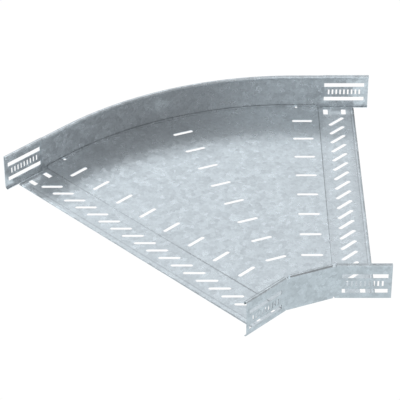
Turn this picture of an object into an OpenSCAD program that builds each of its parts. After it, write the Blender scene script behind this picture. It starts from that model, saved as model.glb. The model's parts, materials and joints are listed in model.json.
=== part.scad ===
// Flat bend for a perforated cable tray, pressed and rolled from galvanised sheet.
// Millimetres. The part lies on its two end lips, at Z = 0, with +Z up.
// The bend is a mirror image of itself about the plane X = 0, and +Y points to its outer wall.
// Two plan frames are used: the bend frame, with the arc's centre at its origin and the bisector
// along +Y, and the end frame, which is the bend frame turned so that one tray end leaves along +X.

/* [Overall] */
// Angle that the bend turns through
bend_angle = 45; // [30:1:60]
// Inside width between the two lugs of a tray end
tray_w = 494; // [300:1:700]
// Overall height, from the end lips to the top of the rolled rims
tray_h = 59.8; // [50:0.1:110]
// Thickness of the sheet that all three pieces are made of
sheet_t = 1; // [0.7:0.05:1.5]
// Thinning of the sheet on each side, where it is folded
fold_thin = 0.1; // [0.05:0.05:0.2]
// Inside face of the inner wall, measured from the arc's centre
inner_set = 2; // [0:0.5:40]

/* [Tray ends] */
// Length of the outer lugs, from the point where the arc runs straight
lug_len = 117; // [100:0.5:160]
// Length by which the inner lugs are shorter
inner_lug_less = 1; // [0:0.5:4]
// Length by which the outer lugs reach past the floor plate
lug_over = 21.6; // [10:0.1:40]
// Corner of the inner wall, where the tray end starts
corner_x = 37.6; // [32:0.1:50]
// Outer wall's step, measured on from the corner
wall_step_on = 9.4; // [4:0.1:12]
// Length over which the outer wall steps out
wall_step_len = 1.5; // [1:0.5:3]
// Bite that the outer wall keeps in its own thickness where it steps out
wall_step_bite = 0.2; // [0.1:0.05:0.5]

/* [Wall section] */
// Outside radius of the rolled rim
rim_r = 3; // [2.5:0.1:5]
// Angle through which the rim is rolled
rim_angle = 240; // [190:5:265]
// Rim left out on the inner wall, beside each of its corners
rim_gap = 3; // [1:0.5:6]
// Inside radius of the bend at the foot of each wall
foot_r = 3.5; // [2:0.25:6]
// Width of the flat foot that carries the floor plate
foot_w = 11; // [6:0.5:16]
// Middle radius of the fold at each corner of the inner wall
corner_r = 6; // [4:0.5:12]

/* [Lug slots] */
// Sheet left between the outer wall's step and the long slots
slot_set = 1.2; // [1:0.1:6]
// Sheet left between the long slots and the end of the outer lugs
slot_end = 6.2; // [5:0.1:12]
// Middle of the slots, measured up from the underside of the walls
slot_up = 26.9; // [25:0.1:40]
// Height of the long slots
long_slot_h = 7; // [5:0.5:10]
// Distance between the two long slots, middle to middle
long_slot_gap = 25; // [20:0.5:30]
// Pitch of the short upright slots
short_slot_pitch = 6; // [5:0.5:7]
// Width of a short slot
short_slot_w = 2.6; // [2:0.1:4]
// Height of a short slot
short_slot_h = 9; // [5:0.5:10]
// Number of short slots in the row
short_slot_n = 9; // [3:1:9]

/* [Floor plate] */
// Floor plate's step, measured on from the inner wall's corner
floor_step_on = 1; // [0.5:0.1:3]
// Length over which the floor plate steps down
floor_step_len = 1.2; // [1:0.1:6]
// Length of the lead-in lip at the floor plate's end
lip_len = 2.6; // [2:0.1:10]
// Drop of the lead-in lip
lip_drop = 1.3; // [0.5:0.1:3]
// Inside radius of the bend in the floor plate's rim
floor_rim_r = 1.5; // [0.8:0.1:4]
// Upright part of the floor plate's rim, above its bend
floor_rim_up = 0.9; // [0.2:0.1:8]
// Gap between the floor plate and the walls
floor_gap = 0.2; // [0.2:0.1:1.5]
// Slit in the outer rim of the floor plate, at the bisector
floor_rim_slit = 0.6; // [0.3:0.1:2]
// Diameter of the drain holes where the arc runs straight
drain_d = 4.6; // [3:0.1:6]
// Clearance around the drain holes in the foot below
drain_clear = 0.75; // [0.5:0.25:1]
// Place of the drain holes along the tray end
drain_x = 4.7; // [4:0.1:8]

/* [Floor slots] */
// Width of the round-ended floor slots
slot_w = 6.2; // [5:0.1:10]
// Length of the round-ended floor slots
slot_len = 32; // [20:0.5:36]
// Pitch of the slots in the columns of the bend
column_pitch = 50; // [40:1:80]
// First slot of a column, measured in from the outer wall
column_start = 44.3; // [30:0.1:80]
// Clear length left at the inner end of a column
column_end = 70; // [30:1:120]
// Place of the side columns, measured along the tray end
column_x = 12.7; // [10:0.1:16]
// Middle of the holes of a tray end, measured on from the floor plate's step
pattern_on = 26; // [24:0.1:30]
// Pitch of the slanted slots across the tray end
slant_pitch = 25; // [20:0.5:40]
// First slanted slot, measured in from the outer lug
slant_start = 45.1; // [40:0.1:80]
// Clear length left beyond the last slanted slot
slant_end = 40; // [38:1:80]
// Offset of the slanted slots from the middle of the holes
slant_off = 1.2; // [-3:0.1:3]
// Angle of the slanted slots to the tray's length
slant_angle = 45; // [30:1:60]
// Size of the square holes along the tray
square_x = 7.3; // [5:0.1:12]
// Size of the square holes across the tray
square_y = 14.8; // [6:0.1:16]
// Corner radius of the square holes
square_r = 0.8; // [0.5:0.1:2.4]
// Middle of the square holes, measured in from the outer lug
square_in = 17.3; // [15:0.1:22]
// Middle of the square holes, measured in from the inner lug
inner_square_in = 18.4; // [15:0.1:22]
// Distance between the two square holes beside a lug
square_gap = 28; // [20:0.5:32]

/* [Output] */
// Piece to build

/* [Hidden] */
$fn = 64;
half_angle = bend_angle / 2;

// Plan: the walls' inside faces
wall_step = sheet_t - wall_step_bite;
wall_step_x = corner_x + wall_step_on;
lug_r = inner_set + tray_w;
arc_r = lug_r - wall_step;
inner_lug_len = lug_len - inner_lug_less;
corner = [
    corner_x * cos(half_angle) + inner_set * sin(half_angle),
    inner_set * cos(half_angle) - corner_x * sin(half_angle)
];
// Distance from a corner to where its fold starts
corner_set = (corner_r + sheet_t / 2) * tan(half_angle / 2);

// Heights: the walls stand above the end lips, and the floor plate lies on their feet
wall_base = lip_drop;
foot_top = wall_base + sheet_t;
bend_z = foot_top + foot_r;
rim_z = tray_h - rim_r;

// Lug slots
slot_x = wall_step_x + slot_set;
long_slot_len = lug_len - slot_end - slot_x;
lug_mid_z = wall_base + slot_up;

// Floor plate: the level part ends where the rims turn up and where the ends step down
floor_rim_out = floor_rim_r + sheet_t;
floor_turn = max(floor_rim_out, foot_r) + floor_gap;
floor_r = arc_r - floor_turn;
floor_low = inner_set + foot_r + floor_gap;
floor_len = lug_len - lug_over;
floor_step_x = corner_x + floor_step_on;
pattern_x = floor_step_x + pattern_on;

// Patterns: as many holes as the width takes
column_n = floor((arc_r - inner_set - column_start - column_end) / column_pitch) + 1;
slant_n = floor((tray_w - slant_start - slant_end) / slant_pitch) + 1;

// The whole part is centred on its plan box
plan_top = arc_r + sheet_t;
plan_low = (inner_set - sheet_t) * cos(half_angle) - inner_lug_len * sin(half_angle);
plan_mid = (plan_top + plan_low) / 2;

// Play that lets a cut pass clean through the sheet
cut = 2;
// Length by which a folded edge runs into the sheet that it is folded from
root = 3;
// The two half arcs overlap by a hair at the bisector
seam_angle = 0.01;
arc_fn = 360;

module ring(outer, inner) {
    difference() {
        circle(outer);
        circle(inner);
    }
}

module obround(length, width) {
    square([length - width, width], center = true);
    for (side = [-1, 1])
        translate([side * (length - width) / 2, 0])
            circle(d = width);
}

module rounded_rectangle(along, across, radius) {
    square([along - 2 * radius, across], center = true);
    square([along, across - 2 * radius], center = true);
    for (x = [-1, 1], y = [-1, 1])
        translate([x * (along / 2 - radius), y * (across / 2 - radius)])
            circle(radius);
}

// Quarter turn of a sheet of the given inside radius and thickness, from level to upright, about the origin
module quarter_bend(inner, thickness) {
    intersection() {
        ring(inner + thickness, inner);
        translate([0, -inner - 2 * thickness])
            square(inner + 2 * thickness);
    }
}

// Section of a wall: X is outward from its inside face, Y is height
module wall_section() {
    rim_open = [for (a = [rim_angle, (rim_angle + 360) / 2, 360]) 2 * rim_r * [cos(a), sin(a)]];
    translate([0, bend_z])
        square([sheet_t, rim_z - bend_z]);
    translate([-foot_r, bend_z])
        quarter_bend(foot_r, sheet_t);
    translate([sheet_t - rim_r, rim_z])
        difference() {
            ring(rim_r, rim_r - sheet_t);
            polygon(concat([[0, 0]], rim_open));
        }
}

// Plug of sheet that shuts the end of a rolled rim, drawn with the section of a wall
module rim_plug_section() {
    translate([sheet_t - rim_r, rim_z])
        circle(rim_r - sheet_t / 2);
}

// Flat foot under the floor plate, drawn with the section of a wall
module foot_section() {
    translate([-foot_r - foot_w, wall_base])
        square([foot_w, sheet_t]);
}

// Section of the floor plate's upturned rim: X is outward from the plate's edge, Y is height
module floor_rim_section() {
    thickness = sheet_t - 2 * fold_thin;
    inner = floor_rim_r + fold_thin;
    translate([0, foot_top + floor_rim_out]) {
        quarter_bend(inner, thickness);
        translate([inner, 0])
            square([thickness, floor_rim_up]);
        translate([-root, -inner - thickness])
            square([root, thickness]);
    }
}

// Straight run of a section along +X
module run(length) {
    rotate([90, 0, 90])
        linear_extrude(length)
            children();
}

// Half of the arc, swept from the tray end by the given angle, in the end frame
module half_arc(angle) {
    rotate([0, 0, 90])
        rotate_extrude(angle = angle, $fn = arc_fn)
            children();
}

// Both tray ends, from one that is drawn in the end frame
module both_ends() {
    for (side = [0, 1])
        mirror([side, 0, 0])
            rotate([0, 0, -half_angle])
                children();
}

// Slots of one lug, cut along Y through a wall whose inside face is at the given place
module lug_cuts(face) {
    for (row = [-0.5, 0.5])
        translate([slot_x, face - sheet_t - cut, lug_mid_z + row * long_slot_gap - long_slot_h / 2])
            cube([long_slot_len, 2 * (sheet_t + cut), long_slot_h]);
    for (k = [0 : short_slot_n - 1])
        translate([
            slot_x + long_slot_len / 2 + (k - (short_slot_n - 1) / 2) * short_slot_pitch - short_slot_w / 2,
            face - sheet_t - cut,
            lug_mid_z - short_slot_h / 2
        ])
            cube([short_slot_w, 2 * (sheet_t + cut), short_slot_h]);
}

// Drain hole of the given diameter, at the start of the floor plate's rim, in the end frame
module drain_cut(diameter) {
    translate([drain_x, floor_r - 0.4, -cut])
        cylinder(d = diameter, h = foot_top + foot_r + cut);
}

module outer_wall_end() {
    half_arc(half_angle + seam_angle)
        translate([arc_r, 0]) {
            wall_section();
            foot_section();
        }
    translate([0, arc_r, 0]) {
        run(wall_step_x)
            wall_section();
        run(floor_step_x - cut)
            foot_section();
    }
    translate([wall_step_x - wall_step_len, lug_r, 0])
        run(lug_len - wall_step_x + wall_step_len)
            wall_section();
}

module outer_wall() {
    color("#aeb9c0")
        difference() {
            both_ends()
                outer_wall_end();
            both_ends() {
                lug_cuts(lug_r);
                drain_cut(drain_d + 2 * drain_clear);
            }
        }
}

// Lug of the inner wall and the fold that joins it to the middle flat, in the end frame
module inner_wall_end() {
    turn = half_angle / 2;
    fold_reach = (corner_r + sheet_t / 2) / cos(turn);
    fold_more = 7;
    translate([corner_x + corner_set, inner_set, 0])
        run(inner_lug_len - corner_x - corner_set)
            mirror([1, 0])
                wall_section();
    translate([corner_x + fold_reach * sin(turn), inner_set - fold_reach * cos(turn), 0])
        rotate([0, 0, 90 - fold_more])
            rotate_extrude(angle = half_angle + 2 * fold_more)
                translate([corner_r - sheet_t / 2 + fold_thin, bend_z])
                    square([sheet_t - 2 * fold_thin, rim_z - bend_z]);
}

module inner_wall() {
    flat_reach = corner.x - corner_set;
    color("#bcc6cc")
        difference() {
            union() {
                translate([-flat_reach, corner.y, 0])
                    run(2 * flat_reach)
                        mirror([1, 0]) {
                            wall_section();
                            foot_section();
                        }
                for (side = [0, 1])
                    mirror([side, 0, 0])
                        translate([flat_reach - rim_gap - cut, corner.y, 0])
                            run(2 * cut)
                                mirror([1, 0])
                                    rim_plug_section();
                both_ends()
                    inner_wall_end();
            }
            both_ends()
                lug_cuts(inner_set);
            for (side = [0, 1])
                mirror([side, 0, 0])
                    translate([flat_reach - rim_gap, corner.y - 2 * rim_r, rim_z - 0.5])
                        cube([rim_gap + 2 * corner_set + 0.5, 4 * rim_r + cut, 2 * rim_r]);
        }
}

// Point of the end frame, in the bend frame
function in_bend(p) = [
    p.x * cos(half_angle) + p.y * sin(half_angle),
    p.y * cos(half_angle) - p.x * sin(half_angle)
];

// Level part of the floor plate, in the bend frame, up to the roots of its folded rims
module plate_outline() {
    arc_edge = floor_r - root / 4;
    end_edge = arc_edge - 0.5;
    step_edge = floor_step_x - 0.3;
    inner = [corner.x - foot_w / 2, corner.y + floor_turn + root / 2];
    right = [
        in_bend([-2 * root, end_edge]),
        in_bend([step_edge, end_edge]),
        in_bend([step_edge, floor_low]),
        inner
    ];
    left = [for (k = [3 : -1 : 0]) [-right[k].x, right[k].y]];
    fan = [in_bend([0, arc_r / 4]), in_bend([0, 2 * arc_r])];
    polygon(concat(right, left));
    intersection() {
        circle(arc_edge, $fn = arc_fn);
        polygon(concat(fan, [for (k = [1, 0]) [-fan[k].x, fan[k].y]]));
    }
}

// Section of the floor plate along the tray end: the step down, the level end and its lip
module floor_end_section() {
    polygon([
        [floor_step_x - root / 2, foot_top + fold_thin],
        [floor_step_x, foot_top + fold_thin],
        [floor_step_x + floor_step_len, wall_base],
        [floor_len - lip_len, wall_base],
        [floor_len, wall_base - lip_drop],
        [floor_len, foot_top - lip_drop],
        [floor_len - lip_len, foot_top],
        [floor_step_x + floor_step_len, foot_top],
        [floor_step_x, foot_top + sheet_t - fold_thin],
        [floor_step_x - root / 2, foot_top + sheet_t - fold_thin]
    ]);
}

module floor_end() {
    translate([0, floor_r, 0])
        rotate([90, 0, 0])
            linear_extrude(floor_r - floor_low)
                floor_end_section();
    half_arc(half_angle - asin(floor_rim_slit / 2 / floor_r))
        translate([floor_r, 0])
            floor_rim_section();
    translate([0, floor_r, 0])
        run(floor_step_x - cut)
            floor_rim_section();
}

module floor_cuts() {
    linear_extrude(tray_h) {
        for (k = [0 : column_n - 1])
            translate([0, arc_r - column_start - k * column_pitch])
                obround(slot_len, slot_w);
        for (side = [0, 1])
            mirror([side, 0])
                rotate(-half_angle) {
                    for (k = [0 : column_n - 1])
                        translate([column_x, arc_r - column_start - k * column_pitch])
                            obround(slot_len, slot_w);
                    for (k = [0 : slant_n - 1])
                        translate([pattern_x + slant_off, lug_r - slant_start - k * slant_pitch])
                            rotate(slant_angle)
                                obround(slot_len, slot_w);
                    for (x = [-0.5, 0.5], y = [inner_set + inner_square_in, lug_r - square_in])
                        translate([pattern_x + x * square_gap, y])
                            rounded_rectangle(square_x, square_y, square_r);
                }
    }
}

module floor_plate() {
    rim_reach = corner.x - foot_w;
    color("#c6d2da")
        difference() {
            union() {
                translate([0, 0, foot_top])
                    linear_extrude(sheet_t)
                        plate_outline();
                both_ends()
                    floor_end();
                translate([-rim_reach, corner.y + floor_turn, 0])
                    run(2 * rim_reach)
                        mirror([1, 0])
                            floor_rim_section();
            }
            floor_cuts();
            both_ends()
                drain_cut(drain_d);
        }
}

translate([0, -plan_mid, 0]) {
    floor_plate();
    outer_wall();
    inner_wall();
}
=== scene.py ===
"""Dress a flat bend for a perforated cable tray, of galvanised sheet, and set it up for its picture.

Lengths are metres in the part's own frame: +Z up, +Y along the bisector towards the outer wall.
"""
from __future__ import annotations

import json
import logging
import math
from dataclasses import dataclass
from enum import Enum
from typing import Any

import bmesh
import bpy
from mathutils import Matrix, Vector

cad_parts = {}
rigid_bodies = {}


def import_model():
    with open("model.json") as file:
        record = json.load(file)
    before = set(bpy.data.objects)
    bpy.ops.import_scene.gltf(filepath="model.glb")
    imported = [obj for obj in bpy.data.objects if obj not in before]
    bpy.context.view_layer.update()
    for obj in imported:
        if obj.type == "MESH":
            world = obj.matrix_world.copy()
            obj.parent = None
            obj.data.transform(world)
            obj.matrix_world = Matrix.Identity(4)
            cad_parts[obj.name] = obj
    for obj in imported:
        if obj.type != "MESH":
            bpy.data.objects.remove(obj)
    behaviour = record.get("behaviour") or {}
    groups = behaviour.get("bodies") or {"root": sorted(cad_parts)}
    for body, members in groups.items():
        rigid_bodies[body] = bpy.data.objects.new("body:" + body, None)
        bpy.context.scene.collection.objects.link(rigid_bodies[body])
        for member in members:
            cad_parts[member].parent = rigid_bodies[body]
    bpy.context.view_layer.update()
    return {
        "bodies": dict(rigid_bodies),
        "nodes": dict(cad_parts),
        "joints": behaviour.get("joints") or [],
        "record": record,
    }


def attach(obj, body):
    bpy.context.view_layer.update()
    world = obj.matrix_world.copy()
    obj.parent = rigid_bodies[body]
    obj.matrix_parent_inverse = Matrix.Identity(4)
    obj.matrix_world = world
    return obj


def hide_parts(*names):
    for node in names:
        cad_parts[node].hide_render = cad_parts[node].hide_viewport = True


LOG = logging.getLogger("cable_tray_bend")
MM = 0.001
BODY = "root"
# Half of the bend's angle, and how far the middle of its arc lies from the frame's origin, along -Y.
HALF_BEND = math.radians(22.5)
ARC_SET = 226.366 * MM
# Corners of the CAD's loose triangles that lie closer than this are one corner.
WELD = 0.002 * MM
# Cool daylight of even brightness: linear red, green and blue.
DAYLIGHT = (0.93, 1.02, 1.07)
# Middle of a random colour, whose three parts run from 0 to 1.
RANDOM_MIDDLE = (0.5, 0.5, 0.5)
# Widths and heights of the three kinds of soft box.
LARGE_BOX = (2.8, 1.6)
MIDDLE_BOX = (1.5, 0.85)
SMALL_BOX = (1.2, 0.6)
# Blender's names of the node types that are used most. A mix takes two values at its inputs 2 and 3, or two
# colours at 6 and 7, and gives a value at its output 0 or a colour at 2.
VECTOR_MATH = "ShaderNodeVectorMath"
MIX = "ShaderNodeMix"


def linear_colour(hex_colour: str) -> tuple[float, float, float, float]:
    """Turn an sRGB hex colour into linear RGBA.

    Args:
        hex_colour: Six hex digits with a leading hash.

    Returns:
        The linear red, green and blue, and an alpha of one.
    """
    parts = [int(hex_colour[k : k + 2], 16) / 255 for k in (1, 3, 5)]
    red, green, blue = (v / 12.92 if v <= 0.04045 else ((v + 0.055) / 1.055) ** 2.4 for v in parts)
    return red, green, blue, 1.0


def add_node(
    tree: bpy.types.NodeTree,
    kind: str,
    inputs: dict[str | int, Any] | None = None,
    **settings: Any,
) -> bpy.types.Node:
    """Add a node with its settings and inputs.

    Args:
        tree: The node tree that takes the node.
        kind: Blender's name of the node type.
        inputs: A value or a source socket for each named or numbered input.
        settings: Attributes of the node.

    Returns:
        The new node.
    """
    node = tree.nodes.new(kind)
    for name, value in settings.items():
        setattr(node, name, value)
    for name, value in (inputs or {}).items():
        if isinstance(value, bpy.types.NodeSocket):
            tree.links.new(value, node.inputs[name])
        else:
            node.inputs[name].default_value = value
    return node


class TrayEnd(Enum):
    """Which of the bend's two ends a line is on, as the sign of its X."""

    RIGHT = 1
    LEFT = -1


@dataclass(frozen=True)
class PaintedLightLine:
    """A line across a tray end: painted shade where its share is below one, painted highlight where above.

    Its place is counted outwards along the tray end, from the middle of the arc. The share is the zinc's
    brightness on the line, over that beside it. The line has its full strength as far as the core and ends
    at the fade, which are shares of its width to either side of its middle.
    """

    end: TrayEnd
    at_mm: float
    width_mm: float
    share: float
    core: float = 0.3
    fade: float = 0.6

    def brightness(self, tree: bpy.types.NodeTree, place: bpy.types.NodeSocket) -> bpy.types.NodeSocket:
        """Build the share by which the line's painted shade or painted highlight scales the zinc's colour.

        Args:
            tree: The material's node tree.
            place: Object coordinates.

        Returns:
            The socket that gives the share.
        """
        aim = (self.end.value * math.cos(HALF_BEND), -math.sin(HALF_BEND), 0)
        middle = self.at_mm * MM + ARC_SET * math.sin(HALF_BEND)
        along = add_node(tree, VECTOR_MATH, {0: place, 1: aim}, operation="DOT_PRODUCT").outputs["Value"]
        off = add_node(tree, "ShaderNodeMath", {0: along, 1: middle}, operation="SUBTRACT")
        away = add_node(tree, "ShaderNodeMath", {0: off.outputs[0]}, operation="ABSOLUTE")
        share = add_node(
            tree,
            "ShaderNodeMapRange",
            {
                "Value": away.outputs[0],
                "From Min": self.core * self.width_mm * MM,
                "From Max": self.fade * self.width_mm * MM,
                "To Min": self.share,
                "To Max": 1.0,
            },
            interpolation_type="SMOOTHSTEP",
        )
        return share.outputs[0]


# In pairs, along the floor plate's two ends: painted shade on the step, on the fold of the lip and on the
# cut edge, and a painted highlight on the band beside that fold.
FLOOR_PAINTED_LIGHT_LINES = (
    PaintedLightLine(TrayEnd.RIGHT, 39.2, 1.3, 0.5),
    PaintedLightLine(TrayEnd.LEFT, 39.2, 1.3, 0.74),
    PaintedLightLine(TrayEnd.RIGHT, 89.9, 1.6, 0.8),
    PaintedLightLine(TrayEnd.LEFT, 88.0, 2.2, 0.84),
    PaintedLightLine(TrayEnd.RIGHT, 91.5, 1.4, 1.16),
    PaintedLightLine(TrayEnd.LEFT, 91.0, 1.6, 1.05),
    PaintedLightLine(TrayEnd.RIGHT, 94.6, 2.8, 0.5),
    PaintedLightLine(TrayEnd.LEFT, 94.4, 2.8, 0.94),
)


@dataclass(frozen=True)
class GalvanisedSheet:
    """Hot-dip galvanised steel sheet: zinc that froze in flat crystals, called spangle.

    The sizes of specks and of the crystals' ragged edges are shares of a crystal's size. A crystal's slope
    to the sheet is up to about half of the tilt.
    """

    name: str
    pale: str = "#e5eaed"
    dark: str = "#bec2c5"
    spangle_mm: float = 7.0
    speck_size: float = 0.45
    speck_mix: float = 0.4
    ragged_size: float = 0.5
    ragged_reach: float = 0.8
    cloud_mm: float = 40.0
    cloud_mix: float = 0.3
    noise_detail: float = 2.0
    gloss_rough: float = 0.24
    dull_rough: float = 0.36
    tilt: float = 0.07
    # Lines of painted shade and painted highlight on the zinc's colour.
    painted_light_lines: tuple[PaintedLightLine, ...] = ()

    def material(self) -> bpy.types.Material:
        """Build the procedural material.

        Returns:
            The new material.
        """
        # Each crystal is a little brighter or duller than the next and lies at its own small tilt, so the
        # sheet looks mottled, mirrors softly what is near and has ragged borders between light and dark.
        material = bpy.data.materials.new(self.name)
        material.use_nodes = True
        tree = material.node_tree
        tree.nodes.clear()
        place = add_node(tree, "ShaderNodeTexCoord").outputs["Object"]
        crystal, shade = self.spangle(tree, place)
        rough = add_node(
            tree,
            "ShaderNodeMapRange",
            {"Value": shade, "To Min": self.dull_rough, "To Max": self.gloss_rough},
        )
        shader = add_node(
            tree,
            "ShaderNodeBsdfPrincipled",
            {
                "Base Color": self.zinc(tree, place, shade),
                "Roughness": rough.outputs[0],
                "Normal": self.facing(tree, crystal),
                "Metallic": 1.0,
            },
        )
        add_node(tree, "ShaderNodeOutputMaterial", {"Surface": shader.outputs[0]})
        return material

    def spangle(
        self, tree: bpy.types.NodeTree, place: bpy.types.NodeSocket
    ) -> tuple[bpy.types.NodeSocket, bpy.types.NodeSocket]:
        """Build the crystals, with small specks in them and soft clouds over them.

        Args:
            tree: The material's node tree.
            place: Object coordinates.

        Returns:
            The socket of each crystal's random colour, and that of the zinc's shade, from dark to pale.
        """
        size = self.spangle_mm * MM
        ragged = add_node(
            tree,
            "ShaderNodeTexNoise",
            {"Vector": place, "Scale": 1 / (self.ragged_size * size), "Detail": self.noise_detail},
        )
        wander = ragged.outputs["Color"]
        shift = add_node(tree, VECTOR_MATH, {0: wander, 1: RANDOM_MIDDLE}, operation="SUBTRACT").outputs[0]
        reach = (self.ragged_reach * size,) * 3
        bent = add_node(tree, VECTOR_MATH, {0: shift, 1: reach, 2: place}, operation="MULTIPLY_ADD")
        large = add_node(tree, "ShaderNodeTexVoronoi", {"Vector": bent.outputs[0], "Scale": 1 / size})
        small = add_node(
            tree,
            "ShaderNodeTexVoronoi",
            {"Vector": bent.outputs[0], "Scale": 1 / (self.speck_size * size)},
        )
        cloud = add_node(
            tree,
            "ShaderNodeTexNoise",
            {"Vector": place, "Scale": 1 / (self.cloud_mm * MM), "Detail": self.noise_detail},
        )
        tint = add_node(tree, "ShaderNodeSeparateColor", {"Color": large.outputs["Color"]}).outputs[0]
        speck = add_node(tree, "ShaderNodeSeparateColor", {"Color": small.outputs["Color"]}).outputs[1]
        mixed = add_node(tree, MIX, {"Factor": self.speck_mix, 2: tint, 3: speck}).outputs[0]
        shade = add_node(tree, MIX, {"Factor": self.cloud_mix, 2: mixed, 3: cloud.outputs["Fac"]})
        return large.outputs["Color"], shade.outputs[0]

    def zinc(
        self, tree: bpy.types.NodeTree, place: bpy.types.NodeSocket, shade: bpy.types.NodeSocket
    ) -> bpy.types.NodeSocket:
        """Build the zinc's colour, with its lines of painted shade and painted highlight.

        Args:
            tree: The material's node tree.
            place: Object coordinates.
            shade: The zinc's shade, from dark to pale.

        Returns:
            The socket that gives the colour.
        """
        dark, pale = linear_colour(self.dark), linear_colour(self.pale)
        colour = add_node(tree, MIX, {"Factor": shade, 6: dark, 7: pale}, data_type="RGBA").outputs[2]
        # Each line scales the colour: painted shade below a share of one, a painted highlight above it.
        for line in self.painted_light_lines:
            share = line.brightness(tree, place)
            colour = add_node(tree, VECTOR_MATH, {0: colour, "Scale": share}, operation="SCALE").outputs[0]
        return colour

    def facing(self, tree: bpy.types.NodeTree, crystal: bpy.types.NodeSocket) -> bpy.types.NodeSocket:
        """Build the direction that each crystal faces, a little off the sheet's own.

        Args:
            tree: The material's node tree.
            crystal: Each crystal's random colour.

        Returns:
            The socket that gives the direction.
        """
        off = add_node(tree, VECTOR_MATH, {0: crystal, 1: RANDOM_MIDDLE}, operation="SUBTRACT")
        square = add_node(tree, "ShaderNodeNewGeometry").outputs["Normal"]
        tilted = add_node(
            tree, VECTOR_MATH, {0: off.outputs[0], 1: (self.tilt,) * 3, 2: square}, operation="MULTIPLY_ADD"
        )
        return add_node(tree, VECTOR_MATH, {0: tilted.outputs[0]}, operation="NORMALIZE").outputs[0]


@dataclass
class SheetPiece:
    """One pressed sheet of the bend, dressed from its CAD solid.

    Faces that meet at less than smooth_deg are shaded as one. The small bend at a wall's foot ends at
    fold_top_mm above the ground.
    """

    node: str
    slot: str
    finish: GalvanisedSheet
    smooth_deg: float = 40.0
    fold_top_mm: float = 6.0

    def build(self, frame: dict[str, Any]) -> bpy.types.Object:
        """Copy the solid, join its loose triangles and dress it.


        Returns:
            The dressed piece, which stands for the CAD node.
        """
        mesh = frame["nodes"][self.node].data.copy()
        mesh.name = f"{self.node}_sheet"
        work = bmesh.new()
        work.from_mesh(mesh)
        bmesh.ops.remove_doubles(work, verts=work.verts, dist=WELD)
        self.settle(work)
        work.to_mesh(mesh)
        work.free()
        self.dress(mesh)
        piece = bpy.data.objects.new(f"{self.node}_sheet", mesh)
        bpy.context.scene.collection.objects.link(piece)
        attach(piece, BODY)
        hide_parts(self.node)
        return piece

    def settle(self, work: bmesh.types.BMesh) -> None:
        """Press the shape a little before it is dressed, which a wall doesn't need."""

    def dress(self, mesh: bpy.types.Mesh) -> None:
        """Give the mesh its finish and its shading, in which flat faces stay flat up to their edges.

        Args:
            mesh: The piece's merged mesh.
        """
        mesh.materials.clear()
        mesh.materials.append(self.finish.material())
        mesh.shade_smooth()
        mesh.set_sharp_from_angle(angle=math.radians(self.smooth_deg))
        normals = self.smooth_normals(mesh)
        for loop in mesh.loops:
            if self.in_fold(mesh.vertices[loop.vertex_index].co):
                normals[loop.index] = self.sharp(normals[loop.index])
        mesh.normals_split_custom_set(normals)

    def smooth_normals(self, mesh: bpy.types.Mesh) -> list[Vector]:
        """Let the large flat faces set the shading of the small bends that run into them.

        Args:
            mesh: The piece's merged mesh.

        Returns:
            A normal for each corner of each face.
        """
        beside: dict[tuple[int, int], list[int]] = {}
        corners: list[dict[int, int]] = [{} for _ in mesh.vertices]
        for face in mesh.polygons:
            for edge in face.edge_keys:
                beside.setdefault(edge, []).append(face.index)
            for vertex, corner in zip(face.vertices, face.loop_indices):
                corners[vertex][face.index] = corner
        # Round each vertex, the faces that are shaded as one form a fan.
        fans = [{face: face for face in around} for around in corners]
        for edge, faces in beside.items():
            if len(faces) != 2:
                continue
            first, second = faces
            bend = mesh.polygons[first].normal.angle(mesh.polygons[second].normal, math.pi)
            if bend > math.radians(self.smooth_deg):
                continue
            for vertex in edge:
                kept, joined = fans[vertex][first], fans[vertex][second]
                fans[vertex] = {face: kept if fan == joined else fan for face, fan in fans[vertex].items()}
        normals = [Vector()] * len(mesh.loops)
        for around, fan_of in zip(corners, fans):
            for fan in set(fan_of.values()):
                members = [mesh.polygons[face] for face in around if fan_of[face] == fan]
                total = sum((face.normal * face.area for face in members), Vector())
                for face in members:
                    normals[around[face.index]] = total.normalized()
        return normals

    def in_fold(self, place: Vector) -> bool:
        """Tell whether a place is in the small bend at the wall's foot."""
        return place.z < self.fold_top_mm * MM

    def sharp(self, normal: Vector) -> Vector:
        """Give the nearest level or upright direction, which shades a small bend as a sharp fold."""
        if abs(normal.z) > math.sqrt(0.5):
            return Vector((0, 0, math.copysign(1, normal.z)))
        return Vector((normal.x, normal.y, 0)).normalized()


@dataclass
class FloorPlate(SheetPiece):
    """The perforated plate, with a low rim along the arc between its two stepped ends.

    The rim lies further than rim_root_mm from the middle of the arc, and leans outwards by rim_lean for each
    mm of its height over the plate's top. It ends before step_mm, where the tray ends start.
    """

    step_mm: float = 38.6
    rim_root_mm: float = 491.0
    top_mm: float = 3.2
    rim_lean: float = 0.28

    def settle(self, work: bmesh.types.BMesh) -> None:
        """Lean the rim along the arc towards the wall."""
        for vertex in work.verts:
            above = vertex.co.z - self.top_mm * MM
            if above > 0 and self.in_fold(vertex.co):
                reach = Vector((vertex.co.x, vertex.co.y + ARC_SET, 0))
                vertex.co += self.rim_lean * above * reach.normalized()

    def in_fold(self, place: Vector) -> bool:
        """Tell whether a place is in the low rim along the arc."""
        reach = Vector((abs(place.x), place.y + ARC_SET))
        outward = reach.x * math.cos(HALF_BEND) - reach.y * math.sin(HALF_BEND)
        return reach.length > self.rim_root_mm * MM and outward < self.step_mm * MM


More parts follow.
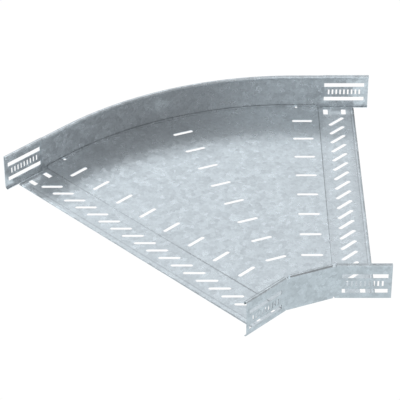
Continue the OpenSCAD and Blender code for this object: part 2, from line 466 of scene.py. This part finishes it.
@dataclass(frozen=True)
class SoftBox:
    """A soft box that hangs round the part and points at it.

    Its azimuth is counted from straight behind the part, as the camera sees it, towards the right.
    """

    name: str
    azimuth_deg: float
    elevation_deg: float
    size_m: tuple[float, float]
    power_w: float
    distance_m: float = 4.0

    def hang(self, heading_deg: float) -> None:
        """Add the lamp.

        Args:
            heading_deg: Which way the camera looks, from +Y towards +X.
        """
        turn = math.radians(self.azimuth_deg + heading_deg)
        rise = math.radians(self.elevation_deg)
        outward = Vector((math.sin(turn) * math.cos(rise), math.cos(turn) * math.cos(rise), math.sin(rise)))
        light = bpy.data.lights.new(self.name, "AREA")
        light.shape = "RECTANGLE"
        light.size, light.size_y = self.size_m
        light.energy = self.power_w
        light.color = DAYLIGHT
        lamp = bpy.data.objects.new(self.name, light)
        bpy.context.scene.collection.objects.link(lamp)
        lamp.location = outward * self.distance_m
        lamp.rotation_euler = (-outward).to_track_quat("-Z", "Y").to_euler()


@dataclass
class Studio:
    """A pale floor, soft light and the camera at the photograph's angle."""

    lens_mm: float = 173.925
    sensor_mm: float = 36.0
    sight_m: float = 100.0
    camera_mm: tuple[float, float, float] = (-923.3, -2105.33, 1628.3)
    heading_deg: float = 22.207
    pitch_deg: float = 34.95
    roll_deg: float = -0.219
    room_colour: str = "#b6b6b8"
    room_light: float = 0.79
    table_half_m: float = 30.0
    table_glow: float = 0.89
    table_white: float = 1.02
    boxes: tuple[SoftBox, ...] = (
        SoftBox("back_low", 0, 30, MIDDLE_BOX, 3.25),
        SoftBox("back_mid", 0, 42, MIDDLE_BOX, 1.64),
        SoftBox("back_left", -22, 30, MIDDLE_BOX, 1.7),
        SoftBox("back_high", 0, 60, LARGE_BOX, 10.6),
        SoftBox("left_back", -45, 36, LARGE_BOX, 25.1),
        SoftBox("right_back", 45, 36, LARGE_BOX, 25.1),
        SoftBox("right_rear_low", 30, 19, SMALL_BOX, 1.2),
        SoftBox("right_high", 60, 60, LARGE_BOX, 6.5),
        SoftBox("right_low", 90, 14, LARGE_BOX, 8.3),
        SoftBox("front_low", 180, 14, LARGE_BOX, 16.2),
        SoftBox("front_high", 180, 60, LARGE_BOX, 16.0),
    )

    def floor(self) -> None:
        """Lay the pale floor under the part."""
        mesh = bpy.data.meshes.new("studio_floor")
        half = self.table_half_m
        corners = [(-half, -half, 0), (half, -half, 0), (half, half, 0), (-half, half, 0)]
        mesh.from_pydata(corners, [], [(0, 1, 2, 3)])
        floor = bpy.data.objects.new("studio_floor", mesh)
        bpy.context.scene.collection.objects.link(floor)
        mesh.materials.append(self.light_table())

    def light_table(self) -> bpy.types.Material:
        """Make the floor's material.

        Returns:
            The new material.
        """
        # Opal acrylic lit from below is plain white to look at and takes no shadow. The sheet mirrors it a
        # little dimmer.
        material = bpy.data.materials.new("lit_opal_acrylic")
        material.use_nodes = True
        tree = material.node_tree
        tree.nodes.clear()
        seen = add_node(tree, "ShaderNodeLightPath").outputs["Is Camera Ray"]
        cool = tuple(self.table_glow * part for part in DAYLIGHT) + (1.0,)
        white = (self.table_white,) * 3 + (1.0,)
        glow = add_node(tree, MIX, {"Factor": seen, 6: cool, 7: white}, data_type="RGBA")
        shine = add_node(tree, "ShaderNodeEmission", {"Color": glow.outputs[2]})
        add_node(tree, "ShaderNodeOutputMaterial", {"Surface": shine.outputs[0]})
        return material

    def light(self) -> None:
        """Hang the soft boxes and set the room's own light."""
        world = bpy.data.worlds.new("studio_room")
        bpy.context.scene.world = world
        world.use_nodes = True
        room = world.node_tree.nodes["Background"]
        room.inputs["Color"].default_value = linear_colour(self.room_colour)
        room.inputs["Strength"].default_value = self.room_light
        for box in self.boxes:
            box.hang(self.heading_deg)
        bpy.context.scene.view_settings.view_transform = "Standard"

    def camera(self) -> None:
        """Stand the camera where the photograph was taken from."""
        heading, pitch, roll = (math.radians(v) for v in (self.heading_deg, self.pitch_deg, self.roll_deg))
        ahead = Vector(
            (math.sin(heading) * math.cos(pitch), math.cos(heading) * math.cos(pitch), -math.sin(pitch))
        )
        level = Vector((math.cos(heading), -math.sin(heading), 0))
        up = level.cross(ahead)
        right = math.cos(roll) * level + math.sin(roll) * up
        above = math.cos(roll) * up - math.sin(roll) * level
        data = bpy.data.cameras.new("photo_camera")
        data.sensor_width = self.sensor_mm
        data.lens = self.lens_mm
        data.clip_end = self.sight_m
        camera = bpy.data.objects.new("photo_camera", data)
        bpy.context.scene.collection.objects.link(camera)
        turn = Matrix((right, above, -ahead)).transposed().to_4x4()
        camera.matrix_world = Matrix.Translation(Vector(self.camera_mm) * MM) @ turn
        bpy.context.scene.camera = camera

    def build(self) -> None:
        """Set up the floor, the light and the camera."""
        self.floor()
        self.light()
        self.camera()


def main() -> None:
    """Build the scene and log how many faces each dressed piece has."""
    logging.basicConfig(level=logging.INFO, format="%(name)s: %(message)s")
    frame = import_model()
    Studio().build()
    floor_finish = GalvanisedSheet("galvanised_floor_sheet", painted_light_lines=FLOOR_PAINTED_LIGHT_LINES)
    outer_finish = GalvanisedSheet("galvanised_outer_wall_sheet", "#e9eef1", "#b6babd")
    # The inner wall's zinc is painted darker than the floor's and the outer wall's: painted shade over the
    # whole sheet.
    inner_finish_painted_darker = GalvanisedSheet("galvanised_inner_wall_sheet", "#d7dcdf", "#b1b5b7")
    pieces = [
        FloorPlate("floor_plate", "floor_zinc", floor_finish),
        SheetPiece("outer_wall", "outer_wall_zinc", outer_finish),
        SheetPiece("inner_wall", "inner_wall_zinc", inner_finish_painted_darker),
    ]
    for piece in pieces:
        made = piece.build(frame)
        LOG.info("%s: %d faces", made.name, len(made.data.polygons))


if __name__ == "__main__":
    main()
